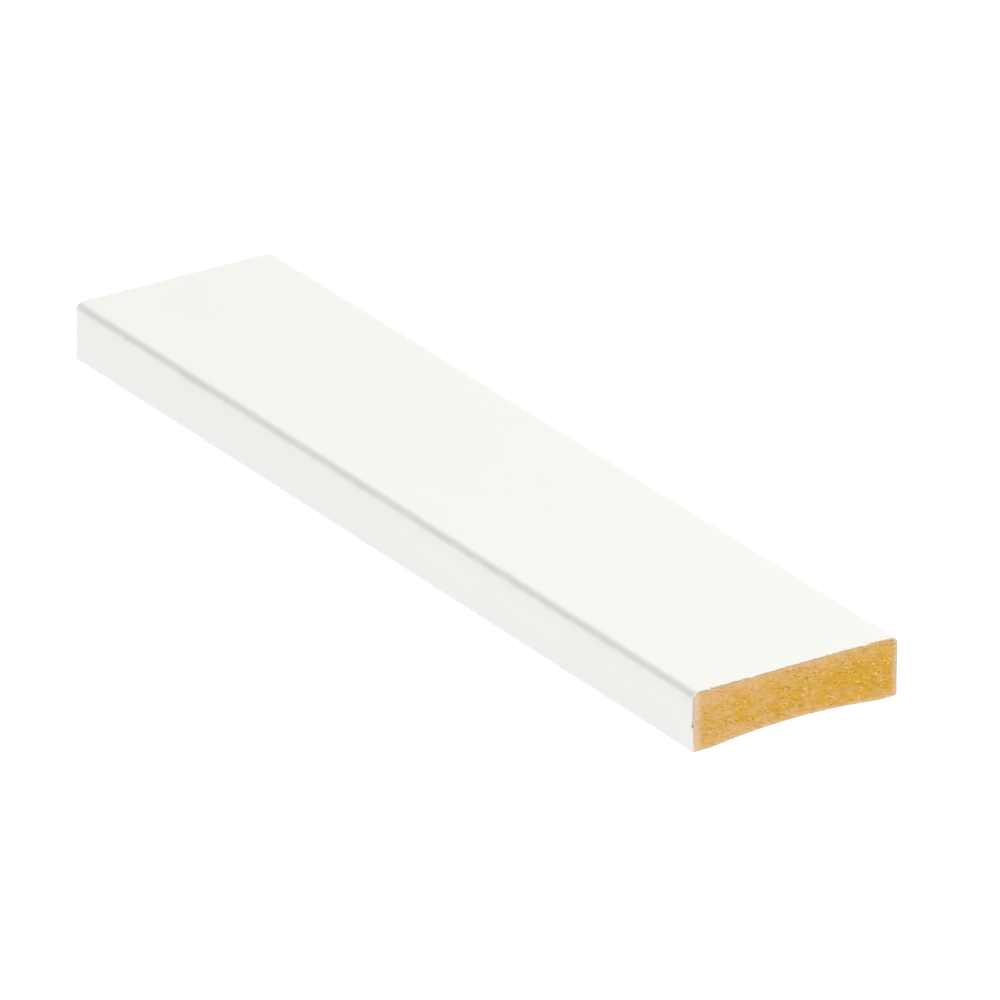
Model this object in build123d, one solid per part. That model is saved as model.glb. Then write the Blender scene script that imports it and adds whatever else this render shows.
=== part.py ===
"""Flat cover moulding, one machined strip of fibreboard.

The strip lies on its back: +X runs along its length, +Y across its width and +Z from the back to
the face. The origin is at the middle of the back plane, halfway along. All sizes are in millimetres.
"""

import os

from build123d import *

# Driving dimensions
strip_length = 210.0  # cut length, sawn square at both ends
strip_width = 45.0
strip_thickness = 12.0
face_arris_radius = 1.5  # rounding of the two long edges of the face
back_arris_radius = 0.5  # easing of the two long edges of the back
foot_width = 4.0  # flat land at each side of the back, which seats on the wall
relief_depth = 1.2  # height of the hollow in the middle of the back


def relief_cutter():
    """Segment of a circle that hollows the back between the two feet."""
    relief_width = strip_width - 2 * foot_width
    with BuildSketch() as cutter:
        with BuildLine():
            crown = ThreePointArc(
                (-relief_width / 2, 0), (0, relief_depth), (relief_width / 2, 0)
            )
            Line(crown @ 1, crown @ 0)
        make_face()
    return cutter.sketch


def strip_section():
    """Outline that the moulding cutter leaves, seen along the strip.

    Within the sketch, local X runs across the width and local Y from the back to the face.
    """
    with BuildSketch(Plane.YZ) as section:
        Rectangle(strip_width, strip_thickness, align=(Align.CENTER, Align.MIN))
        fillet(section.vertices().group_by(Axis.Y)[-1], radius=face_arris_radius)
        fillet(section.vertices().group_by(Axis.Y)[0], radius=back_arris_radius)
        add(relief_cutter(), mode=Mode.SUBTRACT)
    return section.sketch


def moulding_strip():
    """The section drawn out half the length each way from the middle."""
    strip = extrude(strip_section(), amount=strip_length / 2, both=True)
    strip.label = "moulding"
    return strip


os.makedirs("parts", exist_ok=True)
export_step(moulding_strip(), "parts/moulding.step")
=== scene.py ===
import math

import bmesh
import bpy
from mathutils import Matrix, Vector, noise


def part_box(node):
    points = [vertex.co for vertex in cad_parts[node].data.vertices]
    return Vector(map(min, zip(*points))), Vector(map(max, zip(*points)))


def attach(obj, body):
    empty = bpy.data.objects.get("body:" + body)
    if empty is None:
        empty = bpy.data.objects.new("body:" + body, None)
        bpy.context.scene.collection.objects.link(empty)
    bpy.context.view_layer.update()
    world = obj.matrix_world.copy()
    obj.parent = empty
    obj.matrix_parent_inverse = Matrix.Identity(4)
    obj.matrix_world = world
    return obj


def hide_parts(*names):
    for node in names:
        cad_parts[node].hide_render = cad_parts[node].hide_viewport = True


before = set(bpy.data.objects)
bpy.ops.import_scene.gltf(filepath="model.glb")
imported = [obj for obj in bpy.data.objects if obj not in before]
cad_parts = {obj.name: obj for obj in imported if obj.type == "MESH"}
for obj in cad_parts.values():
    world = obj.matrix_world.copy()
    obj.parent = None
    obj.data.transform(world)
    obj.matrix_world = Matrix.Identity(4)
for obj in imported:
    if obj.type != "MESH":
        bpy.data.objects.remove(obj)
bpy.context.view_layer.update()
stripLow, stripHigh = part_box("moulding")
print("strip from", tuple(stripLow), "to", tuple(stripHigh))

mm = 0.001


# camera

cameraView = {
    "azimuth": 56.51,  # degrees round the strip from its front edge
    "elevation": 24.321,
    "roll": 0.127,
    "distance": 2.579,
    "slide": (4.509 * mm, 4.323 * mm),  # to the right and up
    "lens": 497.2,
    "sensorWidth": 36,
    "clip": (0.05, 50),
}


def placeCamera(view):
    azimuth, elevation, roll = (math.radians(view[k]) for k in ("azimuth", "elevation", "roll"))
    level = math.cos(elevation)
    back = Vector((math.sin(azimuth) * level, -math.cos(azimuth) * level, math.sin(elevation)))
    right = Vector((math.cos(azimuth), math.sin(azimuth), 0))
    up = back.cross(right)
    turnedRight = right * math.cos(roll) + up * math.sin(roll)
    turnedUp = up * math.cos(roll) - right * math.sin(roll)
    data = bpy.data.cameras.new("camera")
    data.sensor_width = view["sensorWidth"]
    data.lens = view["lens"]
    data.clip_start, data.clip_end = view["clip"]
    cam = bpy.data.objects.new("camera", data)
    place = back * view["distance"] + turnedRight * view["slide"][0] + turnedUp * view["slide"][1]
    turn = Matrix((turnedRight, turnedUp, back)).transposed().to_4x4()
    cam.matrix_world = Matrix.Translation(place) @ turn
    bpy.context.scene.collection.objects.link(cam)
    bpy.context.scene.camera = cam


placeCamera(cameraView)
print("camera placed")


# node helpers

def addNode(tree, kind, inputs=None, **settings):
    made = tree.nodes.new("ShaderNode" + kind)
    for name, value in settings.items():
        setattr(made, name, value)
    for name, value in (inputs or {}).items():
        if isinstance(value, bpy.types.NodeSocket):
            tree.links.new(value, made.inputs[name])
        else:
            made.inputs[name].default_value = value
    return made


def calc(tree, operation, first, *others, clamp=False):
    # takes in the other values one after another, and only the last result is clamped
    for other in others or (0.0,):
        made = addNode(tree, "Math", {0: first, 1: other}, operation=operation)
        first = made.outputs[0]
    made.use_clamp = clamp
    return first


def remap(tree, value, fromLow, fromHigh, toLow=0.0, toHigh=1.0, smooth=False):
    made = addNode(tree, "MapRange", {"Value": value, "From Min": fromLow, "From Max": fromHigh,
                                      "To Min": toLow, "To Max": toHigh},
                   interpolation_type="SMOOTHSTEP" if smooth else "LINEAR")
    return made.outputs[0]


def mixColour(tree, share, a, b):
    return addNode(tree, "Mix", {0: share, 6: a, 7: b}, data_type="RGBA").outputs[2]


def stretched(tree, coords, size, turn=(0, 0, 0), shift=(0, 0, 0)):
    # size is how long the pattern's features get along each turned axis
    made = addNode(tree, "Mapping", {"Vector": coords, "Scale": size, "Rotation": turn,
                                     "Location": shift}, vector_type="TEXTURE")
    return made.outputs[0]


def noiseFac(tree, coords, size=1.0, detail=2.0, rough=0.5):
    made = addNode(tree, "TexNoise", {"Vector": coords, "Scale": 1 / size, "Detail": detail,
                                      "Roughness": rough})
    return made.outputs[0]


def rampOf(tree, value, stops):
    # greys along a value: each stop is a place and a brightness
    reach = stops[-1][0]
    made = addNode(tree, "ValToRGB", {0: calc(tree, "DIVIDE", value, reach)})
    points = made.color_ramp.elements
    for place, brightness in stops[1:-1]:
        points.new(place / reach)
    for point, (place, brightness) in zip(points, stops):
        point.position = place / reach
        point.color = (brightness, brightness, brightness, 1)
    return made.outputs[0]


def scaled(tree, colour, factor):
    return addNode(tree, "VectorMath", {0: colour, "Scale": factor}, operation="SCALE").outputs[0]


def shade(red, green, blue):
    # a colour as a paint program shows it, 0 to 255, as the linear values that nodes take
    parts = [c / 255 for c in (red, green, blue)]
    return tuple(c / 12.92 if c < 0.04 else ((c + 0.055) / 1.055) ** 2.4 for c in parts) + (1,)


def newMaterial(name):
    made = bpy.data.materials.new(name)
    made.use_nodes = True
    tree = made.node_tree
    tree.nodes.clear()
    output = addNode(tree, "OutputMaterial")
    shader = addNode(tree, "BsdfPrincipled")
    tree.links.new(shader.outputs[0], output.inputs[0])
    return made, tree, shader


def inMillimetres(tree):
    coords = addNode(tree, "TexCoord").outputs["Object"]
    coords = stretched(tree, coords, (mm, mm, mm))
    parts = addNode(tree, "SeparateXYZ", {0: coords}).outputs
    return coords, parts[0], parts[1], parts[2]


def colourAndRelief(tree, shader, tone, height, distance, strength):
    bump = addNode(tree, "Bump", {"Height": height, "Distance": distance, "Strength": strength})
    tree.links.new(tone, shader.inputs["Base Color"])
    tree.links.new(bump.outputs[0], shader.inputs["Normal"])


# sizes of the strip that the shape and the finishes share, in millimetres

boxSize = [round((high - low) / mm, 2) for low, high in zip(stripLow, stripHigh)]

strip = {
    "length": boxSize[0],
    "width": boxSize[1],
    "thickness": boxSize[2],
    "faceRounding": 1.5,
    "faceSegments": 12,
    "backRounding": 0.5,
    "backSegments": 5,
    "footWidth": 4.0,
    "hollowDepth": 1.2,
    "hollowFade": 5,  # height up to which the squares of the sawn ends give way to the hollow
    "gridStep": 0.2,  # size of the little squares on the sawn ends
    "endRows": [0.08, 0.18, 0.3, 0.45, 0.65, 1.0, 2.0, 4.0, 8.0],  # of the coat, away from each sawn end
    "middleRows": 8,
    "clearOfBox": 0.02,  # how far the surface stays inside the plain solid
    "sawnDepth": 0.2,  # faces this near to a sawn end may be bare board
    "outTilt": 0.5,  # and are so where their normals point along the strip by more than this
    "coatedMargin": 0.3,  # the coat goes this far round onto the back
    "downTilt": -0.7,  # normals of the machined back point further down than this
}
sawCut = strip["length"] / 2  # the right end, and the left one on the other side
longEdge = strip["width"] / 2  # the rear edge, and the front one on the other side
faceHeight = strip["thickness"]


# the bare board
# a range holds the two ends of a value, and what it gives at each of them

board = {
    "golden": shade(215, 165, 53),  # middle of the board
    "pink": shade(224, 179, 120),  # denser board near its faces
    "darkFleck": shade(187, 133, 40),
    "lightFleck": shade(240, 200, 130),
    "soaked": shade(228, 206, 180),  # board that the coat has soaked into
    # painted shadow under the edge of the film
    "paintedRimShadow": shade(192, 160, 126),
    "roughness": 0.88,
    "specular": 0.25,
    "relief": (0.05 * mm, 0.7),  # height and strength
    "hairRelief": 0.6,
    "streakRelief": 0.6,
    "fibreTilt": -0.25,  # how far the fibres lean from the width, in radians
    "fibreDepth": 3,  # how far a fibre goes along the strip
    "middleHeight": 5.6,
    # patterns: length along the fibres, thickness across them, shift, detail
    "patterns": {
        "cloud": (5.5, 2.8, (0, 0, 0), 1.0),
        "blot": (2.0, 0.95, (3, 7, 2), 3.0),
        "bare": (4.2, 1.6, (8, 1, 5), 1.0),
        "streak": (2.0, 0.45, (7, 3, 1), 1.0),
        "shadow": (2.6, 1.3, (9, 4, 6), 2.0),
        "crumb": (0.6, 0.34, (4, 6, 9), 2.0),
        "pits": (0.95, 0.4, (5, 1, 8), 2.0),
        "hairs": (0.85, 0.38, (2, 9, 4), 2.0),
    },
    # golden places, and pinker ones below zero: place, height, half length, half height, strength
    "patches": [(12.6, 7.3, 9.0, 3.7, 0.26), (8.5, 7.4, 3.0, 2.0, 0.12), (3.0, 5.9, 2.8, 1.3, 0.22),
                (-5.6, 4.5, 2.3, 1.1, 0.48), (-10.8, 6.3, 2.2, 2.3, 0.14), (-13.6, 6.8, 1.7, 2.4, -0.18),
                (-1.6, 5.6, 2.4, 1.7, -0.2), (3.2, 3.1, 2.2, 1.3, -0.25), (12.0, 8.4, 1.3, 1.5, -0.2),
                (20.0, 7.4, 1.7, 3.5, -0.14)],
    "patchFade": (0.2, 1.1),  # shares of a patch's half size
    "patchDepth": 1000,  # along the strip, so that a patch is alike on both sawn ends
    # ranges of the pinkness
    "pinkByHeight": (1.6, 6.4, 0.03, 0.74),
    "pinkByPlace": (-21, 20, 0.37, -0.08),
    "pinkByCloud": (0.35, 0.65, -0.13, 0.29),
    "pinkByBlot": (0.3, 0.7, -0.38, 0.38),
    # ranges of the flecks
    "crowdingByBare": (0.39, 0.6, 0.18, 1.1),
    "crowdingByPink": (0.0, 1.0, 1.15, 0.55),
    "darkByPits": (0.56, 0.68, 0.0, 1.0),
    "lightByHairs": (0.54, 0.68, 0.0, 0.75),
    # ranges of the brightness
    "brightByPattern": {
        "streak": (0.3, 0.7, 0.95, 1.05),
        "crumb": (0.3, 0.7, 0.935, 1.065),
        "shadow": (0.3, 0.7, 0.955, 1.045),
    },
    "contrastByCrowding": (0.0, 1.0, 0.68, 1.15),
}


def fibreBed(y, z):
    # directions along and across the fibres of the board, for a point of a sawn end
    tilt = board["fibreTilt"]
    return y * math.cos(tilt) + z * math.sin(tilt), z * math.cos(tilt) - y * math.sin(tilt)


def grainNoise(tree, coords, length, thickness, shift, detail):
    # pattern that is long along the fibres and short across them
    size = (board["fibreDepth"], length, thickness)
    return noiseFac(tree, stretched(tree, coords, size, (board["fibreTilt"], 0, 0), shift), detail=detail)


def goldenPatches(tree, coords):
    shares = []
    for place, height, halfLength, halfHeight, strength in board["patches"]:
        size = (board["patchDepth"], halfLength, halfHeight)
        spot = stretched(tree, coords, size, shift=(0, place, height))
        away = addNode(tree, "VectorMath", {0: spot}, operation="LENGTH").outputs["Value"]
        shares.append(remap(tree, away, *board["patchFade"], strength, 0.0, smooth=True))
    return calc(tree, "ADD", *shares)


def boardColour(tree, coords, y, z):
    b = board
    grain = {name: grainNoise(tree, coords, *sizes) for name, sizes in b["patterns"].items()}
    fromMiddle = calc(tree, "ABSOLUTE", calc(tree, "SUBTRACT", z, b["middleHeight"]))
    pinkness = calc(tree, "ADD", remap(tree, fromMiddle, *b["pinkByHeight"]),
                    remap(tree, y, *b["pinkByPlace"]), remap(tree, grain["cloud"], *b["pinkByCloud"]))
    pinkness = calc(tree, "SUBTRACT", pinkness, goldenPatches(tree, coords))
    pinkness = calc(tree, "ADD", pinkness, remap(tree, grain["blot"], *b["pinkByBlot"]), clamp=True)
    tone = mixColour(tree, pinkness, b["golden"], b["pink"])
    # flecks crowd in some places and leave others smooth
    crowding = calc(tree, "MULTIPLY", remap(tree, grain["bare"], *b["crowdingByBare"]),
                    remap(tree, pinkness, *b["crowdingByPink"]))
    dark = calc(tree, "MULTIPLY", remap(tree, grain["pits"], *b["darkByPits"]), crowding)
    tone = mixColour(tree, dark, tone, b["darkFleck"])
    light = calc(tree, "MULTIPLY", remap(tree, grain["hairs"], *b["lightByHairs"]), crowding)
    tone = mixColour(tree, light, tone, b["lightFleck"])
    brightness = calc(tree, "MULTIPLY", *(remap(tree, grain[name], *span)
                                          for name, span in b["brightByPattern"].items()))
    contrast = remap(tree, crowding, *b["contrastByCrowding"])
    brightness = calc(tree, "MULTIPLY", calc(tree, "SUBTRACT", brightness, 1.0), contrast)
    tone = scaled(tree, tone, calc(tree, "ADD", brightness, 1.0))
    height = calc(tree, "SUBTRACT", calc(tree, "MULTIPLY", light, b["hairRelief"]), dark)
    height = calc(tree, "ADD", height, calc(tree, "MULTIPLY", grain["streak"], b["streakRelief"]))
    return tone, height


# the coat

coat = {
    "colour": shade(247, 246, 242),
    "cooler": (0.908, 0.914, 0.878, 1),
    "warmer": (0.932, 0.938, 0.900, 1),
    "cloudSize": 20,
    "peelSize": 0.9,
    "brushedLength": (20, 1, 1),
    "brushedSize": 0.4,
    "peelRelief": 0.7,
    "brushedRelief": 0.3,
    "relief": (0.012 * mm, 0.7),  # height and strength
    "roughnessByPeel": (0.3, 0.7, 0.36, 0.46),
    # film that hangs over the cut along the face of the right end: place, half length, width
    "flaps": [(-21.5, 1.0, 0.24), (-18.8, 0.7, 0.22), (-9.3, 1.2, 0.12), (15.5, 0.9, 0.3),
              (21.0, 2.6, 0.22)],
    "flapCore": 0.2,  # share of a flap's half length that has the full width
    "flapByDepth": (0.3, 0.9, 1.0, 0.0),  # below the face
    # dark marks on the right end: how far from the cut, place, height, radius, strength
    "marks": [(0.0, -longEdge, 5.2, 0.48, 1.0), (0.0, -longEdge, 5.8, 0.3, 0.5),
              (0.0, -longEdge, 6.3, 0.25, 0.3), (0.45, 11.1, faceHeight, 0.3, 0.4),
              (0.5, 15.9, faceHeight, 0.3, 0.45), (0.05, -18.4, faceHeight, 0.3, 0.5)],
    "markCore": 0.35,  # share of a mark's radius that has the full strength
    # colour of the dark spots, one of them at the dent in the front edge
    "darkSpotTone": shade(142, 114, 100),
    "thinFilm": shade(238, 218, 192),  # the film where it thins out over the cut
    "filmEdge": shade(217, 202, 188),  # the film seen edge on at the saw cut
    # painted shade along the arris, where the coat is coloured greyer: millimetres past the flat face,
    # brightness
    "arrisShadeRamp": [(0, 1.0), (0.22, 0.996), (0.42, 0.974), (0.63, 0.922), (0.81, 0.88), (1.0, 0.867),
                      (1.13, 0.882), (1.32, 0.921), (1.5, 0.962), (2.5, 0.983), (4.2, 1.0)],
    "wanderLength": (4, 30, 30),
    "wanderByPlace": (-1, 1, 0.8, 0.2),  # most at the front edge
    "tornCrumbs": (0.22, 2.0, 0.6),  # size, detail and roughness
    "tornRange": (0.4, 0.55),
}


def pastFlats(tree, y, z):
    # how far a point lies past the flat part of the face, and above that of the long edges
    rounding = strip["faceRounding"]
    sideways = calc(tree, "SUBTRACT", calc(tree, "ABSOLUTE", y), longEdge - rounding)
    upwards = calc(tree, "SUBTRACT", z, faceHeight - rounding)
    return calc(tree, "MAXIMUM", sideways, 0.0), calc(tree, "MAXIMUM", upwards, 0.0)


def darkMarks(tree, coords):
    # up to one inside the dark marks, nothing away from them
    marks = []
    for fromCut, place, height, radius, strength in coat["marks"]:
        middle = (sawCut - fromCut, place, height)
        away = addNode(tree, "VectorMath", {0: coords, 1: middle}, operation="DISTANCE").outputs["Value"]
        marks.append(remap(tree, away, coat["markCore"] * radius, radius, strength, 0.0))
    return calc(tree, "MAXIMUM", *marks)


def tornAway(tree, coords):
    # where the saw has broken the film off, from the shape of the strip
    torn = addNode(tree, "Attribute", attribute_name="torn").outputs["Fac"]
    crumbs = calc(tree, "SUBTRACT", noiseFac(tree, coords, *coat["tornCrumbs"]), 0.5)
    return remap(tree, calc(tree, "ADD", torn, crumbs), *coat["tornRange"])


def makeSatinWhite():
    made, tree, shader = newMaterial("satinWhite")
    coords, _, y, z = inMillimetres(tree)
    cloud = noiseFac(tree, coords, coat["cloudSize"])
    peel = noiseFac(tree, coords, coat["peelSize"])
    brushed = noiseFac(tree, stretched(tree, coords, coat["brushedLength"]), coat["brushedSize"])
    tone = mixColour(tree, cloud, coat["cooler"], coat["warmer"])
    sideways, _ = pastFlats(tree, y, z)
    belowArris = calc(tree, "SUBTRACT", faceHeight - strip["faceRounding"], z)
    pastFace = calc(tree, "ADD", sideways, calc(tree, "MAXIMUM", belowArris, 0.0))
    # the painted shade wanders a little along the strip
    wander = calc(tree, "SUBTRACT", noiseFac(tree, stretched(tree, coords, coat["wanderLength"])), 0.5)
    wander = calc(tree, "MULTIPLY", wander, remap(tree, y, *coat["wanderByPlace"]))
    pastFace = calc(tree, "MULTIPLY", pastFace, calc(tree, "ADD", wander, 1.0))
    # the coat's colour is darkened along the arris as painted shade
    tone = scaled(tree, tone, rampOf(tree, pastFace, coat["arrisShadeRamp"]))
    bareBoard, _ = boardColour(tree, coords, y, z)
    tone = mixColour(tree, tornAway(tree, coords), tone, bareBoard)
    tone = mixColour(tree, darkMarks(tree, coords), tone, coat["darkSpotTone"])
    tree.links.new(remap(tree, peel, *coat["roughnessByPeel"]), shader.inputs["Roughness"])
    height = calc(tree, "ADD", calc(tree, "MULTIPLY", peel, coat["peelRelief"]),
                  calc(tree, "MULTIPLY", brushed, coat["brushedRelief"]))
    colourAndRelief(tree, shader, tone, height, *coat["relief"])
    return made


# the sawn ends, with the film of the coat seen edge on at their rim

rim = {
    # how the coat has soaked in from each side: reach, share at the rim, power
    "soak": {"front": (2.5, 1.2, 1.0), "rear": (1.6, 1.0, 1.4), "face": (1.1, 0.75, 1.2),
             "back": (0.9, 0.6, 1.3)},
    "ragged": (0.45, 3.0, 0.65),  # size, detail and roughness
    "clumps": (1.3, 3.0, 0.6),
    "grain": (1.6, 0.6, (6, 2, 3), 2.0),  # as the patterns of the board
    "soakByRagged": (0.3, 0.7, 0.8, 1.15),
    "soakByGrain": (0.35, 0.65, 0.45, 1.35),
    # the painted shadow lines under the film's edge fade out round the two arrises
    "arrisBySideways": (0.2, 0.9, 0.0, 1.0),
    "arrisByUpwards": (0.1, 0.7, 0.0, 0.8),
    "lineDepth": 0.3,  # below the face
    "lineFade": (0.1, 0.45, 0.45, 0.0),
    "lineByGrain": (0.4, 0.6, 0.2, 1.3),
    "seamDepth": 0.12,  # past the film
    "seamFade": (0.06, 0.18, 0.5, 0.0),
    "seamByGrain": (0.4, 0.6, 0.2, 1.2),
    # ranges of the film's width
    "frontFade": (0.8, 1.6, 1.0, 0.0),  # away from the front edge
    "filmByRagged": (0.35, 0.65, 0.0, 0.13),
    "filmByClumps": (0.42, 0.64, 0.0, 0.15),
    "filmAtFront": (0.35, 0.65, 0.2, 0.34),
    "filmAtFoot": (0.5, 1.6, 0.2, 0.0),
    "filmLostAtRear": (0.6, 1.2, 0.08, 0.0),
    "filmFade": (-0.04, 0.08, 1.0, 0.0),
    # ranges of the film's colour
    "thinByDepth": (0.08, 0.34, 0.0, 0.85),
    "greyerByHeight": (4.2, 5.4, 0.2, 1.0),
}


def fading(tree, distance, reach, most, power):
    # "most" at the rim, nothing past the reach
    left = calc(tree, "SUBTRACT", 1.0, calc(tree, "DIVIDE", distance, reach))
    left = calc(tree, "MAXIMUM", left, 0.0)
    return calc(tree, "MULTIPLY", calc(tree, "POWER", left, power), most)


def awayFromSides(tree, y, z):
    # how far a point of a sawn end lies from each side of the section
    share = calc(tree, "DIVIDE", y, longEdge - strip["footWidth"])
    hollow = calc(tree, "SUBTRACT", 1.0, calc(tree, "MULTIPLY", share, share))
    hollow = calc(tree, "MULTIPLY", calc(tree, "MAXIMUM", hollow, 0.0), strip["hollowDepth"])
    return {
        "front": calc(tree, "ADD", y, longEdge),
        "rear": calc(tree, "SUBTRACT", longEdge, y),
        "face": calc(tree, "SUBTRACT", faceHeight, z),
        "back": calc(tree, "SUBTRACT", z, hollow),
    }


def underCoat(tree, sideways, upwards):
    # how deep a point of a sawn end lies under the coat, round the arris too
    squares = calc(tree, "ADD", calc(tree, "MULTIPLY", sideways, sideways),
                   calc(tree, "MULTIPLY", upwards, upwards))
    return calc(tree, "SUBTRACT", strip["faceRounding"], calc(tree, "SQRT", squares))


def flapWidth(tree, x, y, fromFace):
    # how far the film of the face hangs over the cut of the right end
    flaps = []
    for place, halfLength, width in coat["flaps"]:
        away = calc(tree, "ABSOLUTE", calc(tree, "SUBTRACT", y, place))
        flaps.append(remap(tree, away, coat["flapCore"] * halfLength, halfLength, width, 0.0, smooth=True))
    widest = calc(tree, "MAXIMUM", *flaps)
    rightEnd = remap(tree, x, 0.0, 1.0)
    return calc(tree, "MULTIPLY", widest, remap(tree, fromFace, *coat["flapByDepth"]), rightEnd)


def filmWidth(tree, coords, x, y, z, away, ragged, front):
    clumps = noiseFac(tree, coords, *rim["clumps"])
    widest = calc(tree, "ADD",
                  remap(tree, ragged, *rim["filmByRagged"]),
                  remap(tree, clumps, *rim["filmByClumps"]),
                  calc(tree, "MULTIPLY", front, remap(tree, ragged, *rim["filmAtFront"])),
                  flapWidth(tree, x, y, away["face"]),
                  calc(tree, "MULTIPLY", front, remap(tree, z, *rim["filmAtFoot"])))
    return calc(tree, "SUBTRACT", widest, remap(tree, away["rear"], *rim["filmLostAtRear"]))


def paintedShadowLine(tree, distance, fade, grain, byGrain, clean):
    # a painted shadow line at this distance, broken up by the grain
    line = calc(tree, "MULTIPLY", remap(tree, distance, *fade), remap(tree, grain, *byGrain), clamp=True)
    return calc(tree, "MULTIPLY", line, clean)


def makeSawnBoard():
    made, tree, shader = newMaterial("sawnBoard")
    coords, x, y, z = inMillimetres(tree)
    tone, height = boardColour(tree, coords, y, z)
    ragged = noiseFac(tree, coords, *rim["ragged"])
    grain = grainNoise(tree, coords, *rim["grain"])
    away = awayFromSides(tree, y, z)
    front = remap(tree, away["front"], *rim["frontFade"])

    soaked = calc(tree, "MAXIMUM", *(fading(tree, away[side], *soak) for side, soak in rim["soak"].items()))
    uneven = calc(tree, "MULTIPLY", remap(tree, ragged, *rim["soakByRagged"]),
                  remap(tree, grain, *rim["soakByGrain"]))
    tone = mixColour(tree, calc(tree, "MULTIPLY", soaked, uneven, clamp=True), tone, board["soaked"])

    sideways, upwards = pastFlats(tree, y, z)
    arris = calc(tree, "MULTIPLY", remap(tree, sideways, *rim["arrisBySideways"]),
                 remap(tree, upwards, *rim["arrisByUpwards"]))
    clean = calc(tree, "SUBTRACT", 1.0, arris)
    # painted shadow under the film's edge, a little below the face
    fromLine = calc(tree, "ABSOLUTE", calc(tree, "SUBTRACT", away["face"], rim["lineDepth"]))
    line = paintedShadowLine(tree, fromLine, rim["lineFade"], grain, rim["lineByGrain"], clean)
    tone = mixColour(tree, line, tone, board["paintedRimShadow"])

    depth = underCoat(tree, sideways, upwards)
    pastFilm = calc(tree, "SUBTRACT", depth, filmWidth(tree, coords, x, y, z, away, ragged, front))
    # and a painted shadow line just inside the border of the film
    fromSeam = calc(tree, "ABSOLUTE", calc(tree, "SUBTRACT", pastFilm, rim["seamDepth"]))
    seam = paintedShadowLine(tree, fromSeam, rim["seamFade"], grain, rim["seamByGrain"], clean)
    tone = mixColour(tree, seam, tone, board["paintedRimShadow"])

    unbroken = calc(tree, "SUBTRACT", 1.0, tornAway(tree, coords))
    film = calc(tree, "MULTIPLY", remap(tree, pastFilm, *rim["filmFade"]), unbroken)
    filmTone = mixColour(tree, remap(tree, depth, *rim["thinByDepth"]), coat["colour"], coat["thinFilm"])
    # the film at the front edge turns greyer above mid height
    greyerFilm = calc(tree, "MULTIPLY", front, remap(tree, z, *rim["greyerByHeight"]), clean)
    filmTone = mixColour(tree, greyerFilm, filmTone, coat["filmEdge"])
    tone = mixColour(tree, film, tone, filmTone)
    tone = mixColour(tree, darkMarks(tree, coords), tone, coat["darkSpotTone"])
    shader.inputs["Roughness"].default_value = board["roughness"]
    shader.inputs["Specular IOR Level"].default_value = board["specular"]
    colourAndRelief(tree, shader, tone, height, *board["relief"])
    return made


# the back, machined and bare, with a little overspray along its two margins

machined = {
    "dark": shade(166, 132, 88),
    "plain": shade(196, 164, 118),
    "fibre": shade(216, 188, 146),
    "resin": shade(128, 92, 52),
    "roughness": 0.72,
    "relief": (0.04 * mm, 0.7),  # height and strength
    "rippleRelief": 0.35,
    "feltRelief": 0.65,
    # patterns: length along each axis, turn, and size, detail and roughness of the noise
    "patterns": {
        "cloud": ((3, 1, 1), (0, 0, 0), (9.0, 3.0, 0.6)),
        "felt": ((1.6, 1.0, 1.0), (0, 0, 0), (0.9, 4.0, 0.65)),
        "fibres": ((1.4, 0.3, 0.3), (0, 0, 0.3), (0.8, 3.0, 0.6)),
        "crossFibres": ((1.4, 0.3, 0.3), (0, 0, -0.8), (0.8, 3.0, 0.6)),
        "spots": ((1, 1, 1), (0, 0, 0), (0.55, 1.0, 0.5)),
        "mist": ((1, 1, 1), (0, 0, 0), (0.5, 4.0, 0.75)),
    },
    "plainByFelt": (0.32, 0.68, 0.0, 1.0),
    # what lies over the felt: pattern, colour, range
    "layers": [("fibres", "fibre", (0.54, 0.72, 0.0, 0.75)),
               ("crossFibres", "fibre", (0.56, 0.72, 0.0, 0.6)),
               ("spots", "resin", (0.66, 0.74, 0.0, 0.7))],
    "brightByCloud": (0.3, 0.7, 0.92, 1.08),
    "oversprayByMargin": (0.3, 4.5, 1.05, 0.25),
    "oversprayByMist": (0.0, 0.3, 0.0, 0.9),
    "ripple": {"Scale": 0.18, "Distortion": 0.4, "Detail": 1.0},
}


def makeMachinedBack():
    made, tree, shader = newMaterial("machinedBack")
    coords, _, y, _ = inMillimetres(tree)
    m = machined
    grain = {name: noiseFac(tree, stretched(tree, coords, size, turn), *sizes)
             for name, (size, turn, sizes) in m["patterns"].items()}
    tone = mixColour(tree, remap(tree, grain["felt"], *m["plainByFelt"]), m["dark"], m["plain"])
    for pattern, colour, span in m["layers"]:
        tone = mixColour(tree, remap(tree, grain[pattern], *span), tone, m[colour])
    tone = scaled(tree, tone, remap(tree, grain["cloud"], *m["brightByCloud"]))
    margin = calc(tree, "SUBTRACT", longEdge, calc(tree, "ABSOLUTE", y))
    overspray = calc(tree, "SUBTRACT", remap(tree, margin, *m["oversprayByMargin"]), grain["mist"])
    tone = mixColour(tree, remap(tree, overspray, *m["oversprayByMist"]), tone, coat["colour"])
    # faint ripple that the cutter head leaves across the strip
    ripple = addNode(tree, "TexWave", {"Vector": coords, **m["ripple"]}, bands_direction="X").outputs[1]
    height = calc(tree, "ADD", calc(tree, "MULTIPLY", ripple, m["rippleRelief"]),
                  calc(tree, "MULTIPLY", grain["felt"], m["feltRelief"]))
    shader.inputs["Roughness"].default_value = m["roughness"]
    colourAndRelief(tree, shader, tone, height, *m["relief"])
    return made


satinWhite = makeSatinWhite()
sawnBoard = makeSawnBoard()
machinedBack = makeMachinedBack()
finishes = [satinWhite, sawnBoard, machinedBack]
print("finishes made")


# the moulding strip

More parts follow.
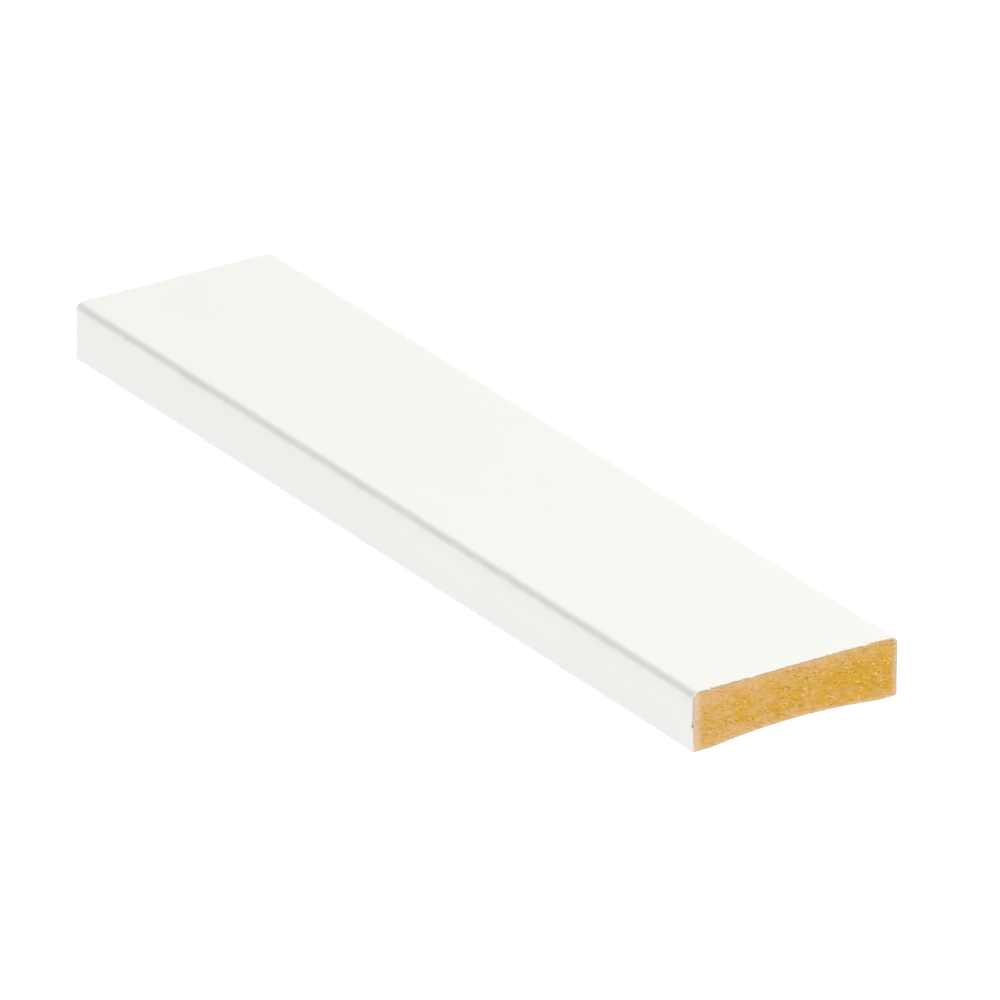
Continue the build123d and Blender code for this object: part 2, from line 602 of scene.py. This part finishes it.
def cutAcross(bm, axis, places):
    normal = [0, 0, 0]
    normal[axis] = 1
    for place in places:
        spot = [0, 0, 0]
        spot[axis] = place * mm
        geom = bm.verts[:] + bm.edges[:] + bm.faces[:]
        bmesh.ops.bisect_plane(bm, geom=geom, dist=1e-7, plane_co=spot, plane_no=normal)


def roundEdges(bm, height, radius, segments):
    # the two long edges at this height
    edges = [e for e in bm.edges
             if all(abs(v.co.z - height * mm) < 0.001 * mm for v in e.verts)
             and abs(e.verts[0].co.x - e.verts[1].co.x) > sawCut * mm]
    bmesh.ops.bevel(bm, geom=edges, offset=radius * mm, offset_type="OFFSET", segments=segments,
                    profile=0.5, affect="EDGES", material=-1)


def hollowHeight(y):
    # the hollow of the back is a shallow arc between the two feet
    half = longEdge - strip["footWidth"]
    depth = strip["hollowDepth"]
    radius = (half * half + depth * depth) / (2 * depth)
    if abs(y) >= half:
        return 0.0
    return math.sqrt(radius * radius - y * y) - (radius - depth)


def stepsBetween(low, high, step):
    count = round((high - low) / step)
    return [low + (high - low) * i / count for i in range(1, count)]


saw = {
    "onCut": 0.01,  # vertices this near to the cut lie in it
    "tearWidth": 0.7,  # rows of the strip this near to the cut may be torn
    "rimTilt": 0.3,  # a normal leans at least this much to one side on the rim
    "backTilt": -0.5,  # and points further down than this on the back
    "leftEnd": 50,  # added to the seeds on the left end
    "fibreSeed": 40,
    "furrow": 0.045,  # depth of the relief between fibres
    "furrowLayers": [(1.1, 0.75, 0.3, 0), (0.8, 0.35, 0.25, 7)],  # share, length, thickness, seed
    "filmDepth": 0.16,  # how deep the cut edge is where the film has broken off
    "chipSeed": 15,
    "chipReach": 0.55,  # how far along the strip a chip goes, at most
    "chipLayers": [(0.8, 1.1, 0), (1.1, 0.35, 9)],  # share, size, seed
    "chipStart": 0.12,  # noise below this leaves the film whole
    "chipLeast": 0.02,  # shorter chips are left out
    "chipFade": 0.1,  # the film gets whole again over this length
    "chipLead": 0.3,  # how torn it still is at the end of the reach
    "edgeHold": 0.2,  # how much less far a chip goes on the long edges
    "edgeHoldFrom": 5,  # height above which the film holds better there
    "nicks": [(-18.35, 0.3, 0.12), (16.9, 0.4, 0.1)],  # on the face: place, half length, depth
    "nickRim": 1,  # a nick reaches this far below the face
    "nickLength": 0.5,  # along the strip
    "nickBare": 0.1,  # a nick this deep is bare board
    "dentHeight": 5.2,  # of the small dent in the front edge of the right end
    "dentHalfHeight": 0.45,
    "dentDepth": 0.22,
    "backCrumble": 0.16,  # how far the edge of the back crumbles at most
    "crumble": (0.5, 0.5, 21),  # length, thickness, seed
    "crumbleStart": 0.3,  # added to the noise, so that most of the edge crumbles
}


def endSeed(x, seed):
    return seed if x > 0 else seed + saw["leftEnd"]


def fibreNoise(x, y, z, length, thickness, seed):
    # unevenness that is long along the fibres and short across them
    along, across = fibreBed(y, z)
    side = endSeed(x, saw["fibreSeed"])
    return noise.noise(Vector((along / length, across / thickness, side + seed)))


def furrowDepth(x, y, z):
    layers = (share * fibreNoise(x, y, z, length, thickness, seed)
              for share, length, thickness, seed in saw["furrowLayers"])
    return saw["furrow"] * sum(layers, 1)


def chipReach(x, y, z, onEdge):
    # how far the film has broken back from the cut at this place of the rim
    if x > 0 and any(abs(y - place) < halfLength for place, halfLength, _ in coat["flaps"]):
        return 0.0
    side = endSeed(x, saw["chipSeed"])
    rough = sum(share * noise.noise(Vector((side + seed, y / size, z / size)))
                for share, size, seed in saw["chipLayers"])
    reach = saw["chipReach"] * max(0.0, rough - saw["chipStart"])
    return reach - (saw["edgeHold"] if onEdge and z > saw["edgeHoldFrom"] else 0.0)


def nickDepth(x, y, z):
    # the nicks in the face and the dent in the front edge, all on the right end
    nick = dent = 0.0
    if x > 0 and z > faceHeight - saw["nickRim"]:
        for place, halfLength, depth in saw["nicks"]:
            nick = max(nick, depth * (1 - abs(y - place) / halfLength))
    if x > 0 and y < 0:
        dent = max(0.0, saw["dentDepth"] * (1 - abs(z - saw["dentHeight"]) / saw["dentHalfHeight"]))
    return nick, dent


def breakRim(x, y, z, fromCut, onEdge):
    # how much of the film is gone at a place of the rim, and how deep it goes
    reach = chipReach(x, y, z, onEdge)
    torn = 0.0
    if reach > saw["chipLeast"]:
        torn = min(1.0, max(0.0, (reach - fromCut) / saw["chipFade"] + saw["chipLead"]))
    fade = max(0.0, 1 - fromCut / saw["nickLength"])
    nick, dent = (depth * fade for depth in nickDepth(x, y, z))
    torn = max(torn, min(1.0, nick / saw["nickBare"]))
    return torn, max(saw["filmDepth"] * torn, nick, dent)


def roughenEnds(bm):
    cut = sawCut - strip["clearOfBox"]
    tornLayer = bm.verts.layers.float.new("torn")
    moves = []
    for v in bm.verts:
        x, y, z = (c / mm for c in v.co)
        fromCut = cut - abs(x)
        if fromCut > saw["tearWidth"]:
            continue
        onCut = fromCut < saw["onCut"]
        onBack = v.normal.z < saw["backTilt"]
        onEdge = abs(v.normal.y) > saw["rimTilt"]
        inwards = -v.normal
        inwards.x = 0
        step = Vector()
        if inwards.length > saw["rimTilt"] and not onBack:
            torn, deep = breakRim(x, y, z, fromCut, onEdge)
            v[tornLayer] = torn
            step = inwards.normalized() * deep * mm
        if onCut and onBack:
            crumble = saw["crumbleStart"] + fibreNoise(x, y, 0, *saw["crumble"])
            step.z = saw["backCrumble"] * max(0.0, crumble) * mm
        back = furrowDepth(x, y, z) if onCut else 0.0
        step.x = -math.copysign(max(back, 0.0) * mm, x)
        moves.append((v, step))
    for v, step in moves:
        v.co += step


def makeStrip():
    s = strip
    bm = bmesh.new()
    bmesh.ops.create_cube(bm, size=1)
    inset = s["clearOfBox"]
    top = s["thickness"] - inset
    bmesh.ops.scale(bm, verts=bm.verts, vec=((s["length"] - 2 * inset) * mm,
                                             (s["width"] - 2 * inset) * mm, top * mm))
    bmesh.ops.translate(bm, verts=bm.verts, vec=(0, 0, top / 2 * mm))
    roundEdges(bm, top, s["faceRounding"], s["faceSegments"])
    roundEdges(bm, 0, s["backRounding"], s["backSegments"])
    flatEdge = longEdge - s["faceRounding"]
    cutAcross(bm, 1, stepsBetween(-flatEdge, flatEdge, s["gridStep"]))
    cutAcross(bm, 2, stepsBetween(s["backRounding"], faceHeight - s["faceRounding"], s["gridStep"]))
    rows = []
    for sign in (-1, 1):
        rows += [sign * (sawCut - row) for row in s["endRows"]]
    rows += stepsBetween(-sawCut, sawCut, s["length"] / s["middleRows"])
    cutAcross(bm, 0, rows)
    print("strip cut into", len(bm.faces), "faces")

    for v in bm.verts:
        _, y, z = (c / mm for c in v.co)
        if z < s["hollowFade"]:
            v.co.z = (z + hollowHeight(y) * (1 - z / s["hollowFade"])) * mm

    bm.normal_update()
    roughenEnds(bm)
    for f in bm.faces:
        middle = f.calc_center_median() / mm
        facesOut = abs(f.normal.x) > s["outTilt"]
        facesDown = f.normal.z < s["downTilt"]
        if facesOut and abs(middle.x) > sawCut - s["sawnDepth"]:
            f.material_index = finishes.index(sawnBoard)
        elif facesDown and abs(middle.y) < longEdge - s["coatedMargin"]:
            f.material_index = finishes.index(machinedBack)
        else:
            f.material_index = finishes.index(satinWhite)
            f.smooth = True
    mesh = bpy.data.meshes.new("mouldingStrip")
    bm.to_mesh(mesh)
    bm.free()
    for material in finishes:
        mesh.materials.append(material)
    made = bpy.data.objects.new("mouldingStrip", mesh)
    bpy.context.scene.collection.objects.link(made)
    return made


mouldingStrip = makeStrip()
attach(mouldingStrip, "root")
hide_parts("moulding")
print("strip made")


# floor and light

studio = {
    "floorSize": 3.2,
    "floorTone": (0.86, 0.86, 0.85, 1),
    "floorWhite": 0.9,  # share of plain white that the camera sees on the floor
    "floorGlow": 1.07,
    "white": (1, 1, 1, 1),
    "horizon": (-0.02, 0.02),
    "skyStrength": 0.2,
    "tableStrength": 1.0,  # light that the white floor throws back at the strip
    "aim": (0, 0, 0.006),  # middle of the strip
    "lamps": {
        # name: place, size, power, colour
        "keySoftbox": ((0.62, 1.15, 2.13), 1.1, 49.3, (0.995, 0.981, 0.963)),
        "frontFill": ((0.1, -2.4, 0.3), 1.2, 25.9, (1.0, 0.976, 1.022)),
        "endFill": ((2.4, -0.1, 0.45), 1.2, 16.8, (1.0, 1.0, 1.0)),
        "rearFill": ((-2.4, 0.4, 0.6), 1.2, 12.0, (1.0, 1.0, 1.0)),
    },
}


def whiteForCamera(tree):
    # one where the camera, a reflection or clear glass looks at the background
    path = addNode(tree, "LightPath").outputs
    return calc(tree, "MAXIMUM", path["Is Camera Ray"], path["Is Glossy Ray"], path["Is Transmission Ray"])


def makeFloor(s):
    bm = bmesh.new()
    bmesh.ops.create_grid(bm, x_segments=1, y_segments=1, size=s["floorSize"] / 2)
    mesh = bpy.data.meshes.new("floor")
    bm.to_mesh(mesh)
    bm.free()
    floor = bpy.data.objects.new("floor", mesh)
    bpy.context.scene.collection.objects.link(floor)
    material = bpy.data.materials.new("paleFloor")
    material.use_nodes = True
    tree = material.node_tree
    tree.nodes.clear()
    output = addNode(tree, "OutputMaterial")
    matt = addNode(tree, "BsdfDiffuse", {"Color": s["floorTone"]})
    glow = addNode(tree, "Emission", {"Color": s["white"], "Strength": s["floorGlow"]})
    clear = addNode(tree, "BsdfTransparent")
    seen = calc(tree, "MULTIPLY", whiteForCamera(tree), s["floorWhite"])
    lit = addNode(tree, "MixShader", {0: seen, 1: matt.outputs[0], 2: glow.outputs[0]})
    # bounced light passes, so that the sky below stands for an evenly lit table
    fromBelow = addNode(tree, "NewGeometry").outputs["Backfacing"]
    bounced = addNode(tree, "LightPath").outputs["Is Diffuse Ray"]
    passes = calc(tree, "MAXIMUM", fromBelow, bounced)
    whole = addNode(tree, "MixShader", {0: passes, 1: lit.outputs[0], 2: clear.outputs[0]})
    tree.links.new(whole.outputs[0], output.inputs[0])
    mesh.materials.append(material)


def makeSky(s):
    world = bpy.data.worlds.new("studioSky")
    bpy.context.scene.world = world
    world.use_nodes = True
    tree = world.node_tree
    tree.nodes.clear()
    output = addNode(tree, "OutputWorld")
    direction = addNode(tree, "TexCoord").outputs["Generated"]
    upwards = addNode(tree, "SeparateXYZ", {0: direction}).outputs[2]
    strength = remap(tree, upwards, *s["horizon"], s["tableStrength"], s["skyStrength"])
    dim = addNode(tree, "Background", {"Color": s["white"], "Strength": strength})
    white = addNode(tree, "Background", {"Color": s["white"], "Strength": 1.0})
    mixed = addNode(tree, "MixShader", {0: whiteForCamera(tree), 1: dim.outputs[0], 2: white.outputs[0]})
    tree.links.new(mixed.outputs[0], output.inputs[0])


def hangLamp(name, place, size, power, colour):
    data = bpy.data.lights.new(name, "AREA")
    data.shape = "DISK"
    data.size = size
    data.energy = power
    data.color = colour
    lamp = bpy.data.objects.new(name, data)
    aim = Vector(studio["aim"]) - Vector(place)
    lamp.matrix_world = Matrix.Translation(place) @ aim.to_track_quat("-Z", "Y").to_matrix().to_4x4()
    lamp.visible_camera = False
    lamp.visible_glossy = False
    bpy.context.scene.collection.objects.link(lamp)


makeFloor(studio)
makeSky(studio)
for lampName, lampSettings in studio["lamps"].items():
    hangLamp(lampName, *lampSettings)
scene = bpy.context.scene
scene.view_settings.view_transform = "Standard"
print("floor and light made")
